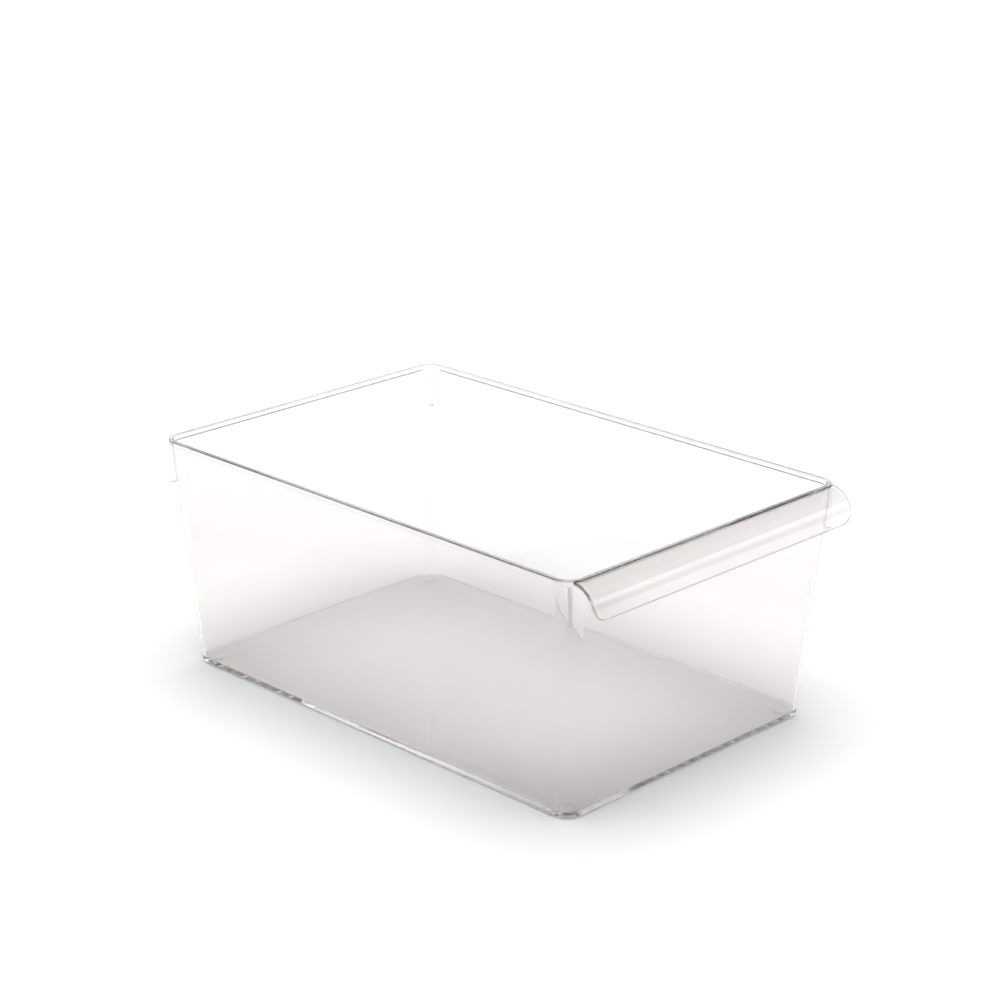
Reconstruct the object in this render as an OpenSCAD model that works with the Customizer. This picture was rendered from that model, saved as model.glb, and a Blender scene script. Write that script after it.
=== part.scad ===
// Clear open-top fridge bin with a full-width pull lip on its front end, on four small foot pads.
// Millimetres, +Z up. The lip points to -Y. The origin is on the ground, under the middle of the
// whole outline, lip included.

/* [Tub] */
// Length over the rim, front to back, without the lip
rim_l = 318; // [260:1:382]
// Width over the rim
rim_w = 211; // [175:1:254]
// Length of the base
base_l = 298; // [248:1:358]
// Width of the base
base_w = 190; // [158:1:228]
// Height of the moulding, base to rim
tub_h = 134.6; // [80:0.2:180]
// Wall thickness
wall = 2; // [1.6:0.1:2.6]
// Base thickness
floor_t = 2.6; // [2:0.1:3.4]
// Outer radius of the upright corners
corner_r = 10.4; // [6:0.2:16]
// Radius along the outer edge of the base
base_edge_r = 0.8; // [0.5:0.1:2]

/* [Rim] */
// Height of the thickened rim
rim_h = 3.2; // [2.4:0.1:5]
// How far the rim stands out from the wall
rim_out = 1; // [0.6:0.1:1.6]
// Radius along the rim's outer edges
rim_edge_r = 0.7; // [0.3:0.1:1]

/* [Pull lip] */
// Width of the lip across the front
lip_w = 202; // [120:1:244]
// Thickness of the lip
lip_t = 2.4; // [1.8:0.1:3]
// Outer radius of the lip's bend
lip_bend_r = 16; // [12:0.5:22]
// Angle that the lip bends through
lip_bend = 83; // [70:1:90]
// Straight stretch below the bend
lip_tail = 4.4; // [2:0.2:10]
// Radius of the lip's two lower corners
lip_corner_r = 8.6; // [3:0.2:12]

/* [Stacking ribs] */
// Width of each corner rib
rib_w = 2.5; // [1.6:0.1:4]
// Length of each corner rib below the rim
rib_l = 23; // [12:1:32]

/* [Feet] */
// Diameter of a foot pad
foot_d = 9; // [6:0.5:14]
// Thickness of a foot pad
foot_t = 1.5; // [1.2:0.1:3]
// Depth of the recess that locates a foot pad
foot_recess = 0.5; // [0.3:0.1:0.8]
// Distance of a foot pad's centre from the edges of the base
foot_inset = 9.5; // [9:0.5:16]

/* [Hidden] */
$fn = 96;

LOFT_FN = 64; // facets round a full turn of a lofted corner
LOFT_STEPS = 4; // levels that round a lofted edge
SLICE = 0.01; // thickness of one level of a loft
FOOT_GAP = 0.25; // radial clearance of a foot pad in its recess
FOOT_EDGE_R = 0.6; // rounding round a foot pad's lower edge
FLOOR_FILLET = 0.5; // rounding between the floor and the walls, inside
OVER = 2; // overrun of a cut past an open face

CLEAR = [0.91, 0.94, 0.95, 0.35];
SOFT_CLEAR = [0.86, 0.89, 0.90, 0.6];

base_z = foot_t - foot_recess; // underside of the moulding
top_z = base_z + tub_h; // top of the rim
widest_z = top_z - rim_edge_r; // where the rim is at its full length and width
wall_top_l = rim_l - 2 * rim_out; // outer size of the walls at that height
wall_top_w = rim_w - 2 * rim_out;

// The lip bends down from the inner edge of the rim, so that its top runs on from the rim's top.
bend_y = wall_top_l / 2 - wall; // forward distance from the tub's centre to the bend's centre
bend_z = top_z - lip_bend_r;
lip_mid_r = lip_bend_r - lip_t / 2; // bend radius at half the lip's thickness
lip_end = lip_tail - lip_t / 2; // straight stretch down to the centre of the round lower edge
lip_reach = bend_y + lip_mid_r * sin(lip_bend) + lip_end * cos(lip_bend) + lip_t / 2;
lip_low_z = bend_z + lip_mid_r * cos(lip_bend) - lip_end * sin(lip_bend) - lip_t / 2;
tub_y = (lip_reach - rim_l / 2) / 2; // puts the origin under the middle of the whole outline

// Outer size of the leaning walls at height z
function up(z) = (z - base_z) / (widest_z - base_z);
function size_at(z) = [
    base_w + (wall_top_w - base_w) * up(z),
    base_l + (wall_top_l - base_l) * up(z)
];

// Solid through several levels, each [height, inset from the outer wall face, corner radius]
module loft(levels) {
    hull()
        for (level = levels, x = [-1, 1], y = [-1, 1]) {
            reach = size_at(level[0]) / 2 - [1, 1] * (level[1] + level[2]);
            translate([x * reach[0], y * reach[1], level[0]])
                cylinder(h = SLICE, r = level[2], $fn = LOFT_FN);
        }
}

// Levels that round an edge of radius r, from the face at height z inwards or outwards
function round_up(z, inset, corner, r) = [
    for (i = [0 : LOFT_STEPS])
        let (a = 90 * i / LOFT_STEPS)
        [z + r * (1 - cos(a)), inset + r * (1 - sin(a)), corner - r * (1 - sin(a))]
];
function round_down(z, inset, corner, r) = [
    for (i = [0 : LOFT_STEPS])
        let (a = 90 * i / LOFT_STEPS)
        [z - r * (1 - cos(a)) - SLICE, inset + r * (1 - sin(a)), corner - r * (1 - sin(a))]
];

module walls() {
    loft(concat(
        round_up(base_z, 0, corner_r, base_edge_r),
        [[widest_z, 0, corner_r]]
    ));
}

module rim() {
    rim_corner_r = corner_r + rim_out;
    loft(concat(
        round_up(top_z - rim_h, -rim_out, rim_corner_r, rim_edge_r),
        round_down(top_z, -rim_out, rim_corner_r, rim_edge_r)
    ));
}

module cavity() {
    loft(concat(
        round_up(base_z + floor_t, wall, corner_r - wall, FLOOR_FILLET),
        [[top_z + OVER, wall, corner_r - wall]]
    ));
}

// Profile of the lip: x is forwards from the bend's centre, y is up from it
module lip_profile() {
    rotate(90 - lip_bend) {
        intersection() {
            difference() {
                circle(lip_bend_r);
                circle(lip_bend_r - lip_t);
            }
            polygon([
                [0, 0],
                [2 * lip_bend_r, 0],
                [2 * lip_bend_r, 2 * lip_bend_r],
                2 * lip_bend_r * [cos(lip_bend), sin(lip_bend)]
            ]);
        }
        translate([lip_bend_r - lip_t, -lip_end])
            square([lip_t, lip_end]);
        translate([lip_mid_r, -lip_end])
            circle(lip_t / 2);
    }
}

// The lip seen from the front, with its two lower corners rounded
module lip_front() {
    half_w = lip_w / 2;
    low = lip_low_z - OVER;
    difference() {
        translate([-half_w, low])
            square([lip_w, top_z - low]);
        for (side = [-1, 1])
            translate([side * (half_w - lip_corner_r), lip_low_z + lip_corner_r])
                difference() {
                    translate([side > 0 ? 0 : -lip_corner_r - OVER, -lip_corner_r - OVER])
                        square(lip_corner_r + OVER);
                    circle(lip_corner_r);
                }
    }
}

module pull_lip() {
    intersection() {
        translate([-lip_w / 2, -bend_y, bend_z])
            rotate([90, 0, 90])
                mirror([1, 0, 0])
                    linear_extrude(lip_w)
                        lip_profile();
        translate([0, -wall_top_l / 2 + wall, 0])
            rotate([90, 0, 0])
                linear_extrude(2 * lip_bend_r + lip_tail)
                    lip_front();
    }
}

// Upright rib on the outside of one corner, from the rim down to a round end
module corner_rib() {
    top = top_z - rim_h / 2;
    low = top_z - rim_h - rib_l;
    // from the centre of the rim's round corner to half an edge radius short of its outer face
    reach = corner_r + rim_out - rim_edge_r / 2;
    rotate([90, 0, 90])
        linear_extrude(reach) {
            translate([-rib_w / 2, low + rib_w / 2])
                square([rib_w, top - low - rib_w / 2]);
            translate([0, low + rib_w / 2])
                circle(rib_w / 2);
        }
}

module corner_ribs() {
    centre = [wall_top_w / 2 - corner_r, wall_top_l / 2 - corner_r];
    for (x = [-1, 1], y = [-1, 1])
        translate([x * centre[0], y * centre[1], 0])
            rotate(atan2(y, x))
                corner_rib();
}

function foot_place(x, y) = [
    x * (base_w / 2 - foot_inset),
    tub_y + y * (base_l / 2 - foot_inset)
];

module foot_recesses() {
    for (x = [-1, 1], y = [-1, 1])
        translate(concat(foot_place(x, y), base_z - OVER))
            cylinder(h = foot_recess + OVER, d = foot_d + 2 * FOOT_GAP);
}

module bin_body() {
    color(CLEAR)
        difference() {
            translate([0, tub_y, 0]) {
                difference() {
                    union() {
                        walls();
                        rim();
                        corner_ribs();
                    }
                    cavity();
                }
                pull_lip();
            }
            foot_recesses();
        }
}

// Round pad with a flat sole and a rounded lower edge
module foot(x, y) {
    foot_r = foot_d / 2;
    color(SOFT_CLEAR)
        translate(foot_place(x, y))
            rotate_extrude() {
                square([foot_r - FOOT_EDGE_R, foot_t]);
                translate([0, FOOT_EDGE_R])
                    square([foot_r, foot_t - FOOT_EDGE_R]);
                translate([foot_r - FOOT_EDGE_R, FOOT_EDGE_R])
                    circle(FOOT_EDGE_R);
            }
}

module foot_front_left() {
    foot(-1, -1);
}

module foot_front_right() {
    foot(1, -1);
}

module foot_back_left() {
    foot(-1, 1);
}

module foot_back_right() {
    foot(1, 1);
}

bin_body();
foot_front_left();
foot_front_right();
foot_back_left();
foot_back_right();
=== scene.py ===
import math

import bmesh
import bpy
from mathutils import Matrix, Vector


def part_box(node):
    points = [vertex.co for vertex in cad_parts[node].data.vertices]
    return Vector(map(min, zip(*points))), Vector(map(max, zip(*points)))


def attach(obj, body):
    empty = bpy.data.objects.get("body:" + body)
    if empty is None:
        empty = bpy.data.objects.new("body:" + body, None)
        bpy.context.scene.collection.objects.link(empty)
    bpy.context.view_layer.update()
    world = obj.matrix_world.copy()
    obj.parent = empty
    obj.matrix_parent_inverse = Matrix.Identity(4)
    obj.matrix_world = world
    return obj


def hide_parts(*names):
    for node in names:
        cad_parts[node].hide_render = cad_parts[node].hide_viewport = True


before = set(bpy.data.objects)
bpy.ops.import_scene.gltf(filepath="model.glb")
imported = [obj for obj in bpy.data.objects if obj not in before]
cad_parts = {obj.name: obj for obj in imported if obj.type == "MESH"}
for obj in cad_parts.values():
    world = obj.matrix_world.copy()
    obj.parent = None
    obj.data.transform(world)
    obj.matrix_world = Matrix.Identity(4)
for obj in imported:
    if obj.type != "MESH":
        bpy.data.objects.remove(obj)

scene = bpy.context.scene
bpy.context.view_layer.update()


# Camera. It stands off the corner between the left side and the front end, a little above the
# rim, with a long lens, so that upright edges stay nearly upright.
camera_azimuth = math.radians(-45.12)
camera_elevation = math.radians(19.78)
camera_distance = 1.469
camera_pan = 0.0044
camera_rise = 0.1044
camera_lens = 93.1
nearest_seen = 0.1
furthest_seen = 50

pad_nodes = ["foot_front_left", "foot_front_right", "foot_back_left", "foot_back_right"]
pad_corners = [corner for name in pad_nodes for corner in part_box(name)]
tub_middle = sum(pad_corners, Vector()) / len(pad_corners)
moulding_low, moulding_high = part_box("bin_body")
base_centre = Vector((0, tub_middle.y, moulding_low.z))

camera = bpy.data.objects.new("camera", bpy.data.cameras.new("camera"))
scene.collection.objects.link(camera)
scene.camera = camera
camera.data.lens = camera_lens
camera.data.clip_start = nearest_seen
camera.data.clip_end = furthest_seen
camera.rotation_euler = (math.pi / 2 - camera_elevation, 0, camera_azimuth)
camera_axes = camera.rotation_euler.to_matrix()
camera.location = base_centre + camera_axes @ Vector((camera_pan, camera_rise, camera_distance))


# The moulding is the whole bin: crystal polystyrene, injected in one shot into a polished steel
# tool. Its walls lean out from the base to a thickened rim, so that it leaves the tool and nests.
# The pull lip, the four stacking ribs and the pad recesses are formed with it.
wall = 0.0020
floor_thickness = 0.0026
base_length = 0.298
base_width = 0.190
corner_radius = 0.0104
corner_steps = 14
rim_height = 0.0032
rim_out = 0.0010
base_edge_radius = 0.0008
rim_edge_radius = 0.0007
rim_mouth_radius = 0.0004
floor_fillet = 0.0005
edge_steps = 5
overrun = 0.002
same_place = 1e-6

base_z = moulding_low.z
top_z = moulding_high.z
rim_half_width = moulding_high.x
rim_half_length = moulding_high.y - tub_middle.y
rim_low_z = top_z - rim_height
tub_place = Vector((0, tub_middle.y, 0))


def outline(z, inset):
    """Half width, half length and corner radius of the leaning wall's outer face, less an inset."""
    up = (z - base_z) / (top_z - rim_edge_radius - base_z)
    half_width = base_width / 2 + (rim_half_width - rim_out - base_width / 2) * up
    half_length = base_length / 2 + (rim_half_length - rim_out - base_length / 2) * up
    return Vector((half_width - inset, half_length - inset, z)), corner_radius - inset


def loft(levels):
    """Closed solid through levels of (height, inset), with the edges of each level."""
    bm = bmesh.new()
    half, radius = outline(*levels[0])
    bmesh.ops.create_grid(bm, x_segments=1, y_segments=1, size=1)
    bmesh.ops.scale(bm, vec=(half.x, half.y, 1), verts=bm.verts)
    bmesh.ops.translate(bm, vec=(0, 0, half.z), verts=bm.verts)
    bmesh.ops.bevel(bm, geom=bm.verts, offset=radius, segments=corner_steps, profile=0.5,
                    affect="VERTICES", material=-1)
    face = next(iter(bm.faces))
    rings = [list(face.edges)]
    for level in levels[1:]:
        old_centre = half - Vector((radius, radius, 0))
        old_radius = radius
        half, radius = outline(*level)
        new_centre = half - Vector((radius, radius, 0))
        grown = bmesh.ops.extrude_face_region(bm, geom=[face, *face.edges, *face.verts])["geom"]
        face = next(item for item in grown if isinstance(item, bmesh.types.BMFace))
        for side in [Vector((x, y, 1)) for x in (-1, 1) for y in (-1, 1)]:
            corner = [vert for vert in face.verts if vert.co.x * side.x > 0 and vert.co.y * side.y > 0]
            to_middle = Matrix.Translation(-old_centre * side)
            bmesh.ops.scale(bm, vec=(radius / old_radius, radius / old_radius, 1),
                            space=to_middle, verts=corner)
            bmesh.ops.translate(bm, vec=(new_centre - old_centre) * side, verts=corner)
        rings.append(list(face.edges))
    bmesh.ops.recalc_face_normals(bm, faces=bm.faces)
    return bm, rings


def round_edges(bm, edges, radius, steps):
    """Rounds edges with an arc."""
    bmesh.ops.bevel(bm, geom=edges, offset=radius, segments=steps, profile=0.5,
                    affect="EDGES", material=-1, clamp_overlap=True)


def to_object(bm, name, place):
    """Moves a finished bmesh to its place and makes an object of it, at the origin."""
    bmesh.ops.translate(bm, vec=place, verts=bm.verts)
    mesh = bpy.data.meshes.new(name)
    bm.to_mesh(mesh)
    bm.free()
    made = bpy.data.objects.new(name, mesh)
    scene.collection.objects.link(made)
    return made


def combine(target, operation, tools):
    """Joins or cuts the target with each tool, and removes the tools."""
    for tool in tools:
        modifier = target.modifiers.new(tool.name, "BOOLEAN")
        modifier.operation = operation
        modifier.solver = "EXACT"
        modifier.object = tool
    shaped = target.evaluated_get(bpy.context.evaluated_depsgraph_get())
    mesh = bpy.data.meshes.new_from_object(shaped)
    target.modifiers.clear()
    target.data = mesh
    for tool in tools:
        bpy.data.objects.remove(tool)


# Outside and inside of the tub. The rim's inner edge is rounded where the hand meets it.
outside, rings = loft([(base_z, 0), (rim_low_z, 0), (rim_low_z, -rim_out), (top_z, -rim_out)])
round_edges(outside, rings[0], base_edge_radius, edge_steps)
round_edges(outside, rings[2], rim_edge_radius, edge_steps)
round_edges(outside, rings[3], rim_edge_radius, edge_steps)
bin_moulding = to_object(outside, "bin_moulding", tub_place)

mouth_arc = []
for step in range(edge_steps + 1):
    turn = math.pi / 2 * step / edge_steps
    height = top_z - rim_mouth_radius * (1 - math.sin(turn))
    inset = wall - rim_mouth_radius * (1 - math.cos(turn))
    mouth_arc.append((height, inset))
above_rim = (top_z + overrun, wall - rim_mouth_radius)
inside, rings = loft([(base_z + floor_thickness, wall), *mouth_arc, above_rim])
round_edges(inside, rings[0], floor_fillet, edge_steps)
cavity = to_object(inside, "cavity", tub_place)

# The pull lip runs on from the rim's top, turns down through a bend and ends in a full round edge
# with two round corners. It starts as a flat strip, which is rounded, sliced and then bent.
lip_width = 0.202
lip_thickness = 0.0024
lip_bend_radius = 0.016
lip_bend = math.radians(83)
lip_tail = 0.00435
lip_corner_radius = 0.0086
lip_corner_steps = 12
lip_root = 0.006
lip_slices = 40
lip_edge_radius = 0.00118
lip_edge_steps = 8

bend_start = rim_half_length - rim_out - wall
bend_middle_radius = lip_bend_radius - lip_thickness / 2
bend_length = bend_middle_radius * lip_bend
lip_length = bend_length + lip_tail
bend_centre = Vector((0, -bend_start, top_z - lip_bend_radius))

lip = bmesh.new()
bmesh.ops.create_cube(lip, size=1)
bmesh.ops.scale(lip, vec=(lip_width, lip_root + lip_length, lip_thickness), verts=lip.verts)
bmesh.ops.translate(lip, vec=(0, (lip_length - lip_root) / 2, 0), verts=lip.verts)
lower_corners = []
for edge in lip.edges:
    first, second = [vert.co for vert in edge.verts]
    if first.y > 0 and second.y > 0 and abs(first.x - second.x) < same_place:
        lower_corners.append(edge)
round_edges(lip, lower_corners, lip_corner_radius, lip_corner_steps)
border = [edge for edge in lip.edges if abs(edge.verts[0].co.z - edge.verts[1].co.z) < same_place]
round_edges(lip, border, lip_edge_radius, lip_edge_steps)
for step in range(lip_slices):
    slice_place = (0, bend_length * step / (lip_slices - 1), 0)
    bmesh.ops.bisect_plane(lip, geom=lip.verts[:] + lip.edges[:] + lip.faces[:],
                           plane_co=slice_place, plane_no=(0, 1, 0))
for vert in lip.verts:
    along = vert.co.y
    turn = min(max(along, 0), bend_length) / bend_middle_radius
    past = along - turn * bend_middle_radius
    reach = bend_middle_radius + vert.co.z
    vert.co.y = bend_centre.y - reach * math.sin(turn) - past * math.cos(turn)
    vert.co.z = bend_centre.z + reach * math.cos(turn) - past * math.sin(turn)
bmesh.ops.reverse_faces(lip, faces=lip.faces)
pull_lip = to_object(lip, "pull_lip", tub_place)

# Stacking ribs: one upright plate below each corner of the rim, with a round lower end. The two
# rounds of that end stop just short of meeting.
rib_width = 0.0025
rib_length = 0.023
rib_end_radius = 0.49 * rib_width
rib_end_steps = 8
rib_edge_radius = 0.0004
rib_edge_steps = 4

rib_top_z = top_z - rim_height / 2
rib_height = rib_top_z - (rim_low_z - rib_length)
rib_reach = corner_radius + rim_out - rim_edge_radius / 2
corner_inset = rim_out + corner_radius
rib_corner = Vector((rim_half_width - corner_inset, rim_half_length - corner_inset, 0))


def make_rib(side_x, side_y):
    """Rib on the corner that those signs name."""
    bm = bmesh.new()
    bmesh.ops.create_cube(bm, size=1)
    bmesh.ops.scale(bm, vec=(rib_reach, rib_width, rib_height), verts=bm.verts)
    low_edges = [edge for edge in bm.edges
                 if all(vert.co.z < 0 for vert in edge.verts)
                 and abs(edge.verts[0].co.x - edge.verts[1].co.x) > same_place]
    round_edges(bm, low_edges, rib_end_radius, rib_end_steps)
    outer_edges = [edge for edge in bm.edges
                   if all(vert.co.x > rib_reach / 2 - same_place for vert in edge.verts)]
    round_edges(bm, outer_edges, rib_edge_radius, rib_edge_steps)
    bmesh.ops.translate(bm, vec=(rib_reach / 2, 0, rib_top_z - rib_height / 2), verts=bm.verts)
    heading = Matrix.Rotation(math.atan2(side_y, side_x), 3, "Z")
    bmesh.ops.rotate(bm, matrix=heading, verts=bm.verts)
    bmesh.ops.recalc_face_normals(bm, faces=bm.faces)
    return to_object(bm, "rib", tub_place + rib_corner * Vector((side_x, side_y, 0)))


ribs = [make_rib(x, y) for x in (-1, 1) for y in (-1, 1)]

# Each pad sits in a shallow round recess in the underside.
recess_radius = 0.00475
recess_depth = 0.0005
round_steps = 48


def make_recess(node):
    """Cutter for the recess over one pad."""
    low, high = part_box(node)
    bm = bmesh.new()
    bmesh.ops.create_cone(bm, cap_ends=True, segments=round_steps, radius1=recess_radius,
                          radius2=recess_radius, depth=recess_depth + overrun)
    centre = (low + high) / 2
    centre.z = base_z + recess_depth - (recess_depth + overrun) / 2
    return to_object(bm, "recess", centre)


combine(bin_moulding, "UNION", [pull_lip] + ribs)
combine(bin_moulding, "DIFFERENCE", [cavity] + [make_recess(name) for name in pad_nodes])

moulding_crease = math.radians(32)
flat_face_weight = 90

finished = bmesh.new()
finished.from_mesh(bin_moulding.data)
bmesh.ops.remove_doubles(finished, verts=finished.verts, dist=same_place)
bmesh.ops.dissolve_degenerate(finished, edges=finished.edges, dist=same_place)
finished.to_mesh(bin_moulding.data)
finished.free()
bin_moulding.data.shade_smooth()
bin_moulding.data.set_sharp_from_angle(angle=moulding_crease)
flat_faces = bin_moulding.modifiers.new("flat_faces", "WEIGHTED_NORMAL")
flat_faces.keep_sharp = True
flat_faces.weight = flat_face_weight


def linear(code):
    """Linear colour of an sRGB hex code."""
    colour = []
    for digit in (1, 3, 5):
        part = int(code[digit:digit + 2], 16) / 255
        colour.append(part / 12.92 if part <= 0.04045 else ((part + 0.055) / 1.055) ** 2.4)
    return (*colour, 1)


def add_node(tree, kind, inputs):
    """Adds a node with its inputs. Each is a value, or another node's output to link from."""
    made = tree.nodes.new(kind)
    for name, value in inputs.items():
        if isinstance(value, bpy.types.NodeSocket):
            tree.links.new(value, made.inputs[name])
        else:
            made.inputs[name].default_value = value
    return made


def new_material(name):
    """Empty node material."""
    made = bpy.data.materials.new(name)
    made.use_nodes = True
    made.node_tree.nodes.clear()
    return made


# Crystal polystyrene from a polished tool: mirror-smooth and clear as glass, with a faint waviness
# where the melt flowed and a little handling haze. Only a long way through it, along an edge or
# inside the base, gathers its cool grey tint.
flow_wave = 0.045
flow_height = 0.0002
haze_patch = 0.012
polished_roughness = 0.005
hazed_roughness = 0.025

crystal = new_material("crystal_polystyrene_polished_mould")
tree = crystal.node_tree
place = add_node(tree, "ShaderNodeTexCoord", {})
flow = add_node(tree, "ShaderNodeTexNoise", {
    "Vector": place.outputs["Object"],
    "Scale": 1 / flow_wave,
    "Detail": 2.0,
})
flow_bump = add_node(tree, "ShaderNodeBump", {
    "Height": flow.outputs["Fac"],
    "Strength": 0.05,
    "Distance": flow_height,
})
haze = add_node(tree, "ShaderNodeTexNoise", {
    "Vector": place.outputs["Object"],
    "Scale": 1 / haze_patch,
    "Detail": 4.0,
})
gloss = add_node(tree, "ShaderNodeMapRange", {
    "Value": haze.outputs["Fac"],
    "To Min": polished_roughness,
    "To Max": hazed_roughness,
})
surface = add_node(tree, "ShaderNodeBsdfPrincipled", {
    "Base Color": linear("#FAF8F7"),
    "Transmission Weight": 1.0,
    "IOR": 1.59,
    "Roughness": gloss.outputs["Result"],
    "Normal": flow_bump.outputs["Normal"],
})
depth_tint = add_node(tree, "ShaderNodeVolumeAbsorption", {
    "Color": linear("#E3E4E7"),
    "Density": 3.0,
})
add_node(tree, "ShaderNodeOutputMaterial", {
    "Surface": surface.outputs["BSDF"],
    "Volume": depth_tint.outputs["Volume"],
})
bin_moulding.data.materials.append(crystal)
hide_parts("bin_body")
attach(bin_moulding, "root")


# Foot pads: four small round bumpers of soft polyurethane, cast with a rounded lower edge and
# stuck into the recesses. They keep the bin from sliding and hold its base off the shelf.
pad_edge_radius = 0.0006
pad_edge_steps = 5
pad_crease = math.radians(40)
pad_gap = 0.00002
pad_skin_grain = 0.0015
pad_cloud = 0.004
shiny_skin_roughness = 0.16
dull_skin_roughness = 0.34

# Cast polyurethane: milky, with a satin skin from the open mould and faint clouds where the resin
# settled. It is drawn opaque, although a little light would pass into the real one.
pad_plastic = new_material("milky_polyurethane_cast")
tree = pad_plastic.node_tree
place = add_node(tree, "ShaderNodeTexCoord", {})
cast_skin = add_node(tree, "ShaderNodeTexNoise", {
    "Vector": place.outputs["Object"],
    "Scale": 1 / pad_skin_grain,
    "Detail": 3.0,
})
skin_gloss = add_node(tree, "ShaderNodeMapRange", {
    "Value": cast_skin.outputs["Fac"],
    "To Min": shiny_skin_roughness,
    "To Max": dull_skin_roughness,
})
clouds = add_node(tree, "ShaderNodeTexNoise", {
    "Vector": place.outputs["Object"],
    "Scale": 1 / pad_cloud,
    "Detail": 2.0,
})
resin = add_node(tree, "ShaderNodeValToRGB", {"Fac": clouds.outputs["Fac"]})
resin.color_ramp.elements[0].color = linear("#F3F5F6")
resin.color_ramp.elements[1].color = linear("#FDFEFE")
surface = add_node(tree, "ShaderNodeBsdfPrincipled", {
    "Base Color": resin.outputs["Color"],
    "IOR": 1.49,
    "Roughness": skin_gloss.outputs["Result"],
})
add_node(tree, "ShaderNodeOutputMaterial", {"Surface": surface.outputs["BSDF"]})

for name in pad_nodes:
    low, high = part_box(name)
    pad = bmesh.new()
    pad_radius = (high.x - low.x) / 2
    pad_height = high.z - low.z - pad_gap
    bmesh.ops.create_cone(pad, cap_ends=True, segments=round_steps, radius1=pad_radius,
                          radius2=pad_radius, depth=pad_height)
    sole = [edge for edge in pad.edges if all(vert.co.z < 0 for vert in edge.verts)]
    round_edges(pad, sole, pad_edge_radius, pad_edge_steps)
    bmesh.ops.recalc_face_normals(pad, faces=pad.faces)
    centre = (low + high) / 2
    centre.z = low.z + pad_height / 2
    piece = to_object(pad, name.replace("foot", "pad"), centre)
    piece.data.shade_smooth()
    piece.data.set_sharp_from_angle(angle=pad_crease)
    piece.data.materials.append(pad_plastic)
    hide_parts(name)
    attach(piece, "root")


# Studio: a wide white floor under a dome of soft light, brightest overhead, with a lit band low
# down and darker walls between, which draw the edges of clear plastic. The backdrop is white.
floor_half = 15
floor_drop = 0.00005
dome_strength = 3.0
light_paths = 160

ground = bmesh.new()
bmesh.ops.create_grid(ground, x_segments=1, y_segments=1, size=floor_half)
floor = to_object(ground, "floor", Vector((0, 0, -floor_drop)))

# Matt white paint: even and without shine, so that it shows nothing but the soft shadow.
white_floor = new_material("matt_white_paint")
tree = white_floor.node_tree
surface = add_node(tree, "ShaderNodeBsdfDiffuse", {"Color": linear("#F3F4F5")})
add_node(tree, "ShaderNodeOutputMaterial", {"Surface": surface.outputs["BSDF"]})
floor.data.materials.append(white_floor)

# The dome's brightness at each height, from the horizon at 0 to straight overhead at 1.
horizon_level = 0.09
low_band_level = 0.42
dark_wall_level = 0.03
overhead_level = 1.15
overhead_height = 0.88
band_levels = [
    (0.22, horizon_level),
    (0.29, low_band_level),
    (0.42, low_band_level),
    (0.48, dark_wall_level),
    (0.8, dark_wall_level),
]

world = bpy.data.worlds.new("studio_dome")
scene.world = world
world.use_nodes = True
tree = world.node_tree
tree.nodes.clear()
place = add_node(tree, "ShaderNodeTexCoord", {})
upwards = add_node(tree, "ShaderNodeSeparateXYZ", {"Vector": place.outputs["Generated"]})
bands = add_node(tree, "ShaderNodeValToRGB", {"Fac": upwards.outputs["Z"]})
lowest, highest = bands.color_ramp.elements
lowest.position = 0
lowest.color = (horizon_level, horizon_level, horizon_level, 1)
highest.position = overhead_height
highest.color = (overhead_level, overhead_level, overhead_level, 1)
for band_height, level in band_levels:
    stop = bands.color_ramp.elements.new(band_height)
    stop.color = (level, level, level, 1)
dome = add_node(tree, "ShaderNodeBackground", {
    "Color": bands.outputs["Color"],
    "Strength": dome_strength,
})
backdrop = add_node(tree, "ShaderNodeBackground", {"Color": linear("#FFFFFF"), "Strength": 1.0})
seen = add_node(tree, "ShaderNodeLightPath", {})
studio = add_node(tree, "ShaderNodeMixShader", {"Fac": seen.outputs["Is Camera Ray"]})
tree.links.new(dome.outputs["Background"], studio.inputs[1])
tree.links.new(backdrop.outputs["Background"], studio.inputs[2])
add_node(tree, "ShaderNodeOutputWorld", {"Surface": studio.outputs["Shader"]})

scene.view_settings.view_transform = "Standard"
scene.cycles.max_bounces = light_paths
scene.cycles.transmission_bounces = light_paths
scene.cycles.glossy_bounces = light_paths
